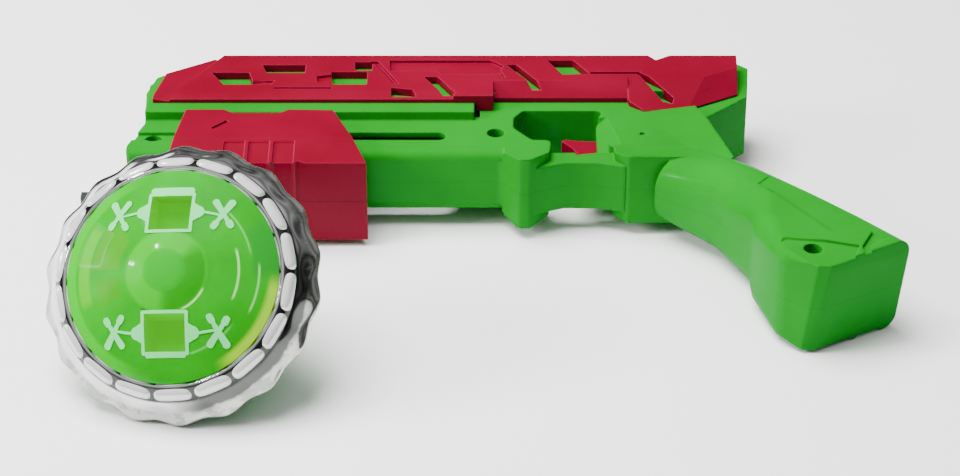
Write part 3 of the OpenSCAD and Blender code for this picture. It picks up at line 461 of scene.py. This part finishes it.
def ring_painted_shade_and_reflections(tree, tone):
    """The plated ring's painted shade and reflections: painted shade in the groove of the beads,
    a painted shadow at the foot of the right side, a painted grey reflection on the skirt with
    faint painted clouds of darker reflection, and a painted dark shade on the lip on the left."""
    place, x, y = face_coordinates(tree)
    radius, from_right, from_left = polar(tree, x, y)
    groove = soft_band(tree, radius, 28.9, 1.2, 0.5)
    ripple = value(tree, "ADD", radius, times(tree, noise(tree, place, 0.5, 3.0), 1.4))
    foot = times(tree, soft_band(tree, ripple, 31.9, 0.9, 0.9),
                 soft_band(tree, from_right, -28, 38, 26))
    skirt = soft_band(tree, radius, 35.0, 2.2, 0.8)
    lip = times(tree, soft_band(tree, radius, 36.0, 1.0, 0.7),
                soft_band(tree, from_left, 22, 44, 24))
    reflection_patches = soft_band(tree, noise(tree, place, 0.22, 4.0, 0.6), 0.62, 0.08, 0.05)
    reflection_clouds = times(tree, reflection_patches, skirt)
    # each share paints shade or a reflection onto the plating
    for share, strength, shade in (
            (groove, 1.0, (0.06, 0.065, 0.06)), (foot, 0.9, (0.03, 0.035, 0.03)),
            (skirt, 0.7, (0.40, 0.42, 0.38)), (lip, 0.85, (0.10, 0.09, 0.10)),
            (reflection_clouds, 0.5, (0.16, 0.18, 0.155))):
        tone = blend_colour(tree, times(tree, share, strength), tone, shade)
    return tone


def plated_chrome(name, metal=1.0, rough=0.1, painted_light=None):
    """Vacuum plated plastic: a bright mirror over slightly uneven moulding."""
    mat, tree, shader = new_material(name)
    vector = coordinates(tree)
    tone = ramp(tree, noise(tree, vector, 60.0, 3.0),
                [(0.3, (0.58, 0.59, 0.585)), (0.8, (0.74, 0.74, 0.73))])
    # painted shade and reflections, for a piece that has them
    if painted_light:
        tone = painted_light(tree, tone)
    haze = noise(tree, vector, 700.0, 5.0, 0.7)
    tree.links.new(tone, shader.inputs["Base Color"])
    tree.links.new(levels(tree, haze, rough - 0.04, rough + 0.06), shader.inputs["Roughness"])
    bump(tree, shader, noise(tree, vector, 120.0, 3.0), 0.25, 0.4 * MM, 0.4 * MM)
    shader.inputs["Metallic"].default_value = metal
    return mat


def clear_green(name):
    """Clear tinted plastic; painted glow at its rim and in its two windows, painted light and shade
    in its bump.
    """
    mat, tree, shader = new_material(name)
    place, x, y = face_coordinates(tree)
    radius, from_right, from_left = polar(tree, x, y)
    tone = ramp(tree, noise(tree, place, 0.06, 4.0),
                [(0.35, (0.0, 0.27, 0.0)), (0.7, (0.004, 0.37, 0.001))])

    def disc(reach, fade):
        return soft_band(tree, radius, 0, reach, fade)

    def arc(at_radius, half_width, fade, middle, half_angle, blur, turn=from_right):
        return times(tree, soft_band(tree, radius, at_radius, half_width, fade),
                     soft_band(tree, turn, middle, half_angle, blur))

    for share, strength, shade in (
            # the moulded bump, darker away from the light
            (disc(9.4, 1.2), 0.6, (0.03, 0.50, 0.002)),
            (arc(7.0, 2.4, 0.8, -20, 50, 30), 0.75, (0.0, 0.22, 0.0)),
            (disc(4.9, 0.7), 0.85, (0.0, 0.33, 0.006)),
            # painted light and shade in bands, standing in for the parts under the dome, and a
            # painted glow at its rim
            (arc(15.6, 3.2, 0.9, 14, 17, 3, from_left), 0.55, (0.075, 0.30, 0.0)),
            (arc(15.0, 2.6, 0.9, -24, 9, 4, from_left), 0.6, (0.060, 0.26, 0.0)),
            (arc(21.4, 1.1, 0.9, -2, 22, 8, from_left), 0.75, (0.08, 0.46, 0.0)),
            (arc(26.0, 0.9, 1.5, -22, 20, 14), 0.95, (0.32, 0.66, 0.0)),
            (arc(23.8, 2.2, 1.8, 22, 10, 12), 0.8, (0.0, 0.24, 0.012)),
            (arc(25.2, 0.9, 1.2, -10, 50, 30, from_left), 0.6, (0.02, 0.52, 0.0)),
            # painted highlights along moulded steps
            (arc(10.2, 0.10, 0.3, -38, 16, 8), 0.9, (0.35, 0.85, 0.20)),
            (arc(17.4, 0.12, 0.3, 6, 17, 6), 0.85, (0.30, 0.85, 0.20)),
            (arc(22.0, 0.10, 0.3, -2, 12, 6), 0.7, (0.25, 0.80, 0.15)),
            (arc(20.4, 0.10, 0.3, -52, 16, 8), 0.6, (0.12, 0.60, 0.10)),
            (arc(20.4, 0.10, 0.3, 40, 14, 8), 0.6, (0.12, 0.60, 0.10))):
        tone = blend_colour(tree, times(tree, share, strength), tone, shade)
    tree.links.new(tone, shader.inputs["Base Color"])

    # a painted glow: the two windows give off a little light of their own, standing in for the
    # light of the parts below
    across = value(tree, "ADD", times(tree, x, math.cos(WINDOW_TURN)),
                   times(tree, y, math.sin(WINDOW_TURN)))
    up = value(tree, "SUBTRACT", times(tree, y, math.cos(WINDOW_TURN)),
               times(tree, x, math.sin(WINDOW_TURN)))
    half_wide, half_high = GLOW_HALF
    window = times(tree, soft_band(tree, across, 0, half_wide, 0.2),
                   soft_band(tree, value(tree, "ABSOLUTE", up), WINDOW_AT, half_high, 0.2))
    shader.inputs["Emission Color"].default_value = (0.12, 0.72, 0.006, 1.0)
    tree.links.new(times(tree, window, 0.55), shader.inputs["Emission Strength"])

    # the band on the left is handled and dull
    gloss = levels(tree, noise(tree, place, 0.5, 4.0), 0.05, 0.12)
    dull = times(tree, arc(20.2, 2.6, 1.2, 13, 11, 6, from_left), 0.6)
    tree.links.new(value(tree, "ADD", gloss, dull), shader.inputs["Roughness"])
    bump(tree, shader, noise(tree, place, 0.15, 2.0), 0.08, 0.2 * MM)
    shader.inputs["Transmission Weight"].default_value = 0.25
    shader.inputs["IOR"].default_value = 1.49
    shader.inputs["Specular IOR Level"].default_value = 0.12
    return mat


GREEN = moulded_plastic("green_plastic", (0.0005, 0.165, 0.006), (0.001, 0.205, 0.010), 0.34,
                        edge_radius=0.9, coat=0.14, seam=0.25, painted_edge_highlight=(0.008, 0.36, 0.03))
RED = moulded_plastic("red_plastic", (0.125, 0.001, 0.010), (0.165, 0.0015, 0.016), 0.33,
                      edge_radius=0.6, coat=0.2, seam=0.8, painted_edge_highlight=(0.42, 0.02, 0.07))
MINT = moulded_plastic("mint_print", (0.08, 0.56, 0.15), (0.14, 0.64, 0.22), 0.4, edge_radius=0.1)
WHITE = moulded_plastic("white_nylon", (0.72, 0.72, 0.68), (0.82, 0.82, 0.79), 0.45)
BLACK = moulded_plastic("black_plastic", (0.02, 0.02, 0.022), (0.04, 0.04, 0.042), 0.4)
DEEP_GREEN = moulded_plastic("deep_green_plastic", (0.01, 0.22, 0.03), (0.02, 0.32, 0.05), 0.36)
BOARD = moulded_plastic("board", (0.01, 0.12, 0.03), (0.02, 0.2, 0.05), 0.5)
LAMP = moulded_plastic("lamp", (0.8, 0.85, 0.78), (0.9, 0.92, 0.88), 0.2)
SCREW = steel("screw_steel", (0.62, 0.62, 0.64), 0.35)
WIRE = steel("spring_wire", (0.5, 0.51, 0.53))
BRASS = steel("brass", (0.78, 0.57, 0.25))
CELL = steel("cell_can", (0.7, 0.7, 0.7), 0.25)
RING_CHROME = plated_chrome("plated_ring", painted_light=ring_painted_shade_and_reflections)
BEAD_CHROME = plated_chrome("plated_beads", metal=0.4, rough=0.16)
POINT_CHROME = plated_chrome("plated_point")
CLEAR = clear_green("clear_dome")

FINISH = {
    "body_green": GREEN, "cover_red": RED, "gear_white": WHITE, "fork_black": BLACK,
    "base_green": DEEP_GREEN, "frame_mint": MINT, "board_green": BOARD, "light_clear": LAMP,
    "screw_steel": SCREW, "spring_steel": WIRE, "bush_brass": BRASS, "cell_steel": CELL,
    "ring_chrome": RING_CHROME, "dome_green": CLEAR, "tip_steel": POINT_CHROME,
}


def dress_nodes():
    """Every CAD node that stays gets the finish of its own slot."""
    for entry in frame["record"]["subparts"]:
        node = NODES[entry["node"]]
        node.data.materials.clear()
        node.data.materials.append(FINISH[entry["material_slot"]])


# The launcher

def mould(name, material, slot, body, *nodes):
    """A smooth moulding that stands for one CAD node, or for halves that meet face to face."""
    piece = merged_copy(nodes[0], name)
    for node in nodes[1:]:
        cut(piece, merged_copy(node, name + "_half"), "UNION")
    flatten(piece)
    smooth(piece)
    finish_piece(piece, material, slot, body, *nodes)
    return piece


def cutter(middle, size, turn_y=0.0, turn_z=0.0):
    """A block to cut with, in millimetres from the launcher's corner and degrees."""
    bpy.ops.mesh.primitive_cube_add(size=1.0)
    block = bpy.context.active_object
    block.matrix_world = (Matrix.Translation(at(*middle))
                          @ Matrix.Rotation(math.radians(turn_z), 4, "Z")
                          @ Matrix.Rotation(math.radians(turn_y), 4, "Y")
                          @ Matrix.Diagonal((*(Vector(size) * MM), 1)))
    return block


def build_launcher():
    body = mould("barrel_and_grip", GREEN, "body_green", "launcher", "upper_shell", "lower_shell")
    # the finger opening is widened towards its rear on both sides
    for height, turn in ((23.3, -38), (4.2, 38)):
        block = cutter((OPENING_BACK + 0.4, 11.7, height), (16, 15.5, 6), turn_y=turn, turn_z=12)
        cut(body, block, "DIFFERENCE")
    # the upright corner of the butt is a narrow flat
    cut(body, cutter(BUTT_CORNER, (10, 12, 40), turn_y=4, turn_z=-94), "DIFFERENCE")
    smooth(body)
    for name, moved, *nodes in (
            ("near_cover", "launcher", "upper_cover"), ("far_cover", "launcher", "lower_cover"),
            ("hand_block", "pump", "pump_upper", "pump_lower"),
            ("blade", "trigger_blade", "trigger")):
        mould(name, RED, "cover_red", moved, *nodes)


def build_spring(name, node):
    """A coil spring: a smooth copy of its CAD node, with a mesh of its own."""
    piece = merged_copy(node, name)
    smooth(piece, 60)
    finish_piece(piece, WIRE, "spring_steel", "launcher", node)
    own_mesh(piece)


# The top, in its own axes: X to the right of the face, Y up it, Z out of the dome

def wave(piece, depth, low, high):
    """Draws the hollows between the lobes in towards the axis, from a height to another.
    A hollow's middle goes in by this share of its radius, and its flanks by half of it."""
    step = 2 * math.pi / LOBES

    def between(least, most):
        """Tells the skirt's corners by their way from a hollow's middle, in shares of a lobe."""
        def test(corner):
            turn = ((math.atan2(corner.y, corner.x) + math.pi / 2) / step) % 1.0
            return (low < corner.z < high and corner.xy.length > SKIRT_R
                    and least < min(turn, 1 - turn) < most)
        return test

    for test, part in ((between(-1, 0.1), depth), (between(0.15, 0.35), depth / 2)):
        edit(piece)
        pick(piece, test)
        bpy.ops.transform.resize(value=(1 - part, 1 - part, 1), center_override=(0, 0, 0))
        done()


def build_ring():
    """Plated ring: a seat for the dome and a scalloped skirt."""
    ring = lathe("plated_ring", RING_PROFILE, LOBES * 4)
    for depth, low, high in RING_WAVES:
        wave(ring, depth, low, high)
    subdivide(ring)
    smooth(ring, 50)
    lay(ring)
    finish_piece(ring, RING_CHROME, "ring_chrome", "spinning_top", "top_ring")


def build_beads():
    """A row of long rounded beads around the dome."""
    bpy.ops.mesh.primitive_cube_add(size=1.0, location=Vector(BEAD_AT) * MM)
    bead = bpy.context.active_object
    bead.name = "bead"
    bead.scale = Vector(BEAD_SIZE) * MM
    settle(bead)
    edit(bead)
    bpy.ops.mesh.select_all(action="SELECT")
    bpy.ops.mesh.bevel(offset=BEAD_ROUND * MM, segments=2, affect="EDGES")
    # the ends follow the ring round
    pick(bead, lambda corner: abs(corner.y) > BEAD_END)
    bpy.ops.transform.translate(value=Vector(BEAD_BEND) * MM)
    done()
    subdivide(bead)
    smooth(bead, 60)
    turns = [math.radians(FIRST_BEAD + 360 / LOBES * i) for i in range(LOBES)]
    beads = join("ring_beads", turned_copies(bead, turns))
    lay(beads)
    finish_piece(beads, BEAD_CHROME, "ring_chrome", "spinning_top")


def dome_skin(height):
    """A thin skin that lies on the dome."""
    outer = [(r, DOME_CROWN + height - DOME_CURVE + math.sqrt(DOME_CURVE ** 2 - r * r))
             for r in (7.6, 9, 11, 14, 17, 20, 23, 25.6)]
    inner = [(r, z - height - PRINT_DEPTH) for r, z in reversed(outer)]
    return lathe("skin", outer + inner, 96)


def stroke(start, end, width, width_end=None):
    """A round-ended stroke of a print, as an upright prism through the dome."""
    start, end = Vector((*start, 0)), Vector((*end, 0))
    along = (end - start).normalized()
    bpy.ops.mesh.primitive_cylinder_add(
        vertices=20, radius=width / 2 * MM, depth=20 * MM,
        location=(start.x * MM, start.y * MM, DOME_Z * MM))
    piece = bpy.context.active_object
    settle(piece)
    edit(piece)
    pick(piece, lambda corner: (Vector((corner.x, corner.y, 0)) - start).dot(along) > 0)
    bpy.ops.transform.translate(value=(end - start) * MM)
    if width_end:
        grow = width_end / width
        bpy.ops.transform.resize(value=(grow, grow, 1), center_override=end * MM)
    done()
    return piece


def build_prints():
    """Plain crossed strokes with a stem and a frame around each window, in pale mint,
    as a thin skin on the dome."""
    strokes = []

    def draw(turn, side, start, end, *widths):
        """Adds a stroke beside the window at this turn, mirrored where the side is -1."""
        spin = Matrix.Rotation(WINDOW_TURN + turn, 2)
        ends = [spin @ Vector((side * x, y + WINDOW_AT)) for x, y in (start, end)]
        strokes.append(stroke(*ends, *widths))

    for side in (-1, 1):
        for turn in (0, math.pi):
            for line in CROSS:
                draw(turn, side, *line)
    # a frame of four bars, with a wider one away from the middle and a tab on each side
    wide, high = FRAME_HALF
    for turn, band in ((0, 1.9), (math.pi, 1.0)):
        for start, end in (((-wide, -high), (wide, -high)), ((-wide, -high), (-wide, high)),
                           ((wide, -high), (wide, high)), ((-wide, high), (wide, high))):
            draw(turn, 1, start, end, FRAME_LINE)
        reach = wide - BAND_SHORTER
        draw(turn, 1, (-reach, high + band / 2), (reach, high + band / 2), band)
        for side in (-1, 1):
            draw(turn, side, *FRAME_TAB)
    prints, *others = strokes
    for other in others:
        cut(prints, other, "UNION")
    for turn in (0, math.pi):
        bpy.ops.mesh.primitive_cube_add(size=1.0)
        opening = bpy.context.active_object
        opening.matrix_world = (Matrix.Rotation(WINDOW_TURN + turn, 4, "Z")
                                @ Matrix.Translation((0, WINDOW_AT * MM, DOME_Z * MM))
                                @ Matrix.Diagonal((*(Vector(WINDOW_SIZE) * MM), 40 * MM, 1)))
        cut(prints, opening, "DIFFERENCE")
    cut(prints, dome_skin(PRINT_HEIGHT), "INTERSECT")
    prints.name = "dome_prints"
    smooth(prints, 30)
    lay(prints)
    finish_piece(prints, MINT, "frame_mint", "spinning_top", "window_frames")


# Stage, light and camera

def build_stage():
    """A plain pale floor just under the table's height."""
    bpy.ops.mesh.primitive_plane_add(size=6.0, location=(0, 0, -0.2 * MM))
    floor = bpy.context.active_object
    floor.name = "floor"
    mat, tree, shader = new_material("pale_floor")
    tone = ramp(tree, noise(tree, coordinates(tree), 3.0),
                [(0.3, (0.9, 0.9, 0.9)), (0.7, (0.93, 0.93, 0.93))])
    tree.links.new(tone, shader.inputs["Base Color"])
    shader.inputs["Roughness"].default_value = 0.7
    floor.data.materials.append(mat)


def soft_light(name, place, target, size, power, mirrored=True):
    """A rectangle of light that looks at its target. Smooth faces mirror it or don't."""
    lamp = bpy.data.lights.new(name, "AREA")
    lamp.shape = "RECTANGLE"
    lamp.size, lamp.size_y = size
    lamp.energy = power
    obj = bpy.data.objects.new(name, lamp)
    obj.visible_glossy = mirrored
    bpy.context.scene.collection.objects.link(obj)
    obj.location = place
    obj.rotation_euler = (Vector(target) - Vector(place)).to_track_quat("-Z", "Y").to_euler()


def build_light():
    """A bright ceiling over grey banded walls, two soft lamps and two sparks on the dome."""
    world = bpy.data.worlds.new("studio")
    bpy.context.scene.world = world
    world.use_nodes = True
    tree = world.node_tree
    where = tree.nodes.new("ShaderNodeTexCoord")
    split = tree.nodes.new("ShaderNodeSeparateXYZ")
    tree.links.new(where.outputs["Generated"], split.inputs["Vector"])
    greys = ((0.0, 0.03), (0.10, 0.30), (0.22, 0.04), (0.36, 0.40), (0.50, 0.14), (0.8, 0.8))
    sky = ramp(tree, split.outputs["Z"], [(height, (grey, grey, grey)) for height, grey in greys])
    tree.links.new(sky, tree.nodes["Background"].inputs["Color"])
    dome = at(20, -40, 40)
    soft_light("over", (-0.26, 0.05, 0.97), (0, 0, 0), (0.7, 0.6), 28, mirrored=False)
    soft_light("from_the_left", (-0.60, -0.16, 0.34), at(165, -35, 20), (0.2, 0.2), 5,
               mirrored=False)
    soft_light("left_spark", (-0.91, -0.06, 0.50), dome, (0.06, 0.05), 1.5)
    soft_light("right_spark", (-0.57, -0.02, 0.85), dome, (0.06, 0.05), 1.9)


def build_camera():
    """The photograph's view: a long lens, 31 degrees above the table."""
    cam = bpy.data.cameras.new("camera")
    cam.sensor_width = CAMERA_SENSOR
    cam.lens = CAMERA_LENS
    cam.clip_start = 0.01
    obj = bpy.data.objects.new("camera", cam)
    bpy.context.scene.collection.objects.link(obj)
    back = Vector((0, -math.cos(CAMERA_PITCH), math.sin(CAMERA_PITCH))) * CAMERA_DISTANCE
    obj.location = at(*CAMERA_TARGET) + back
    obj.rotation_euler = (math.radians(90) - CAMERA_PITCH, 0, 0)
    bpy.context.scene.camera = obj


dress_nodes()
build_launcher()
build_spring("long_coil", "drive_spring")
build_spring("short_coil", "trigger_spring")
build_ring()
build_beads()
mould("clear_dome", CLEAR, "dome_green", "spinning_top", "top_dome")
build_prints()
build_stage()
build_light()
build_camera()
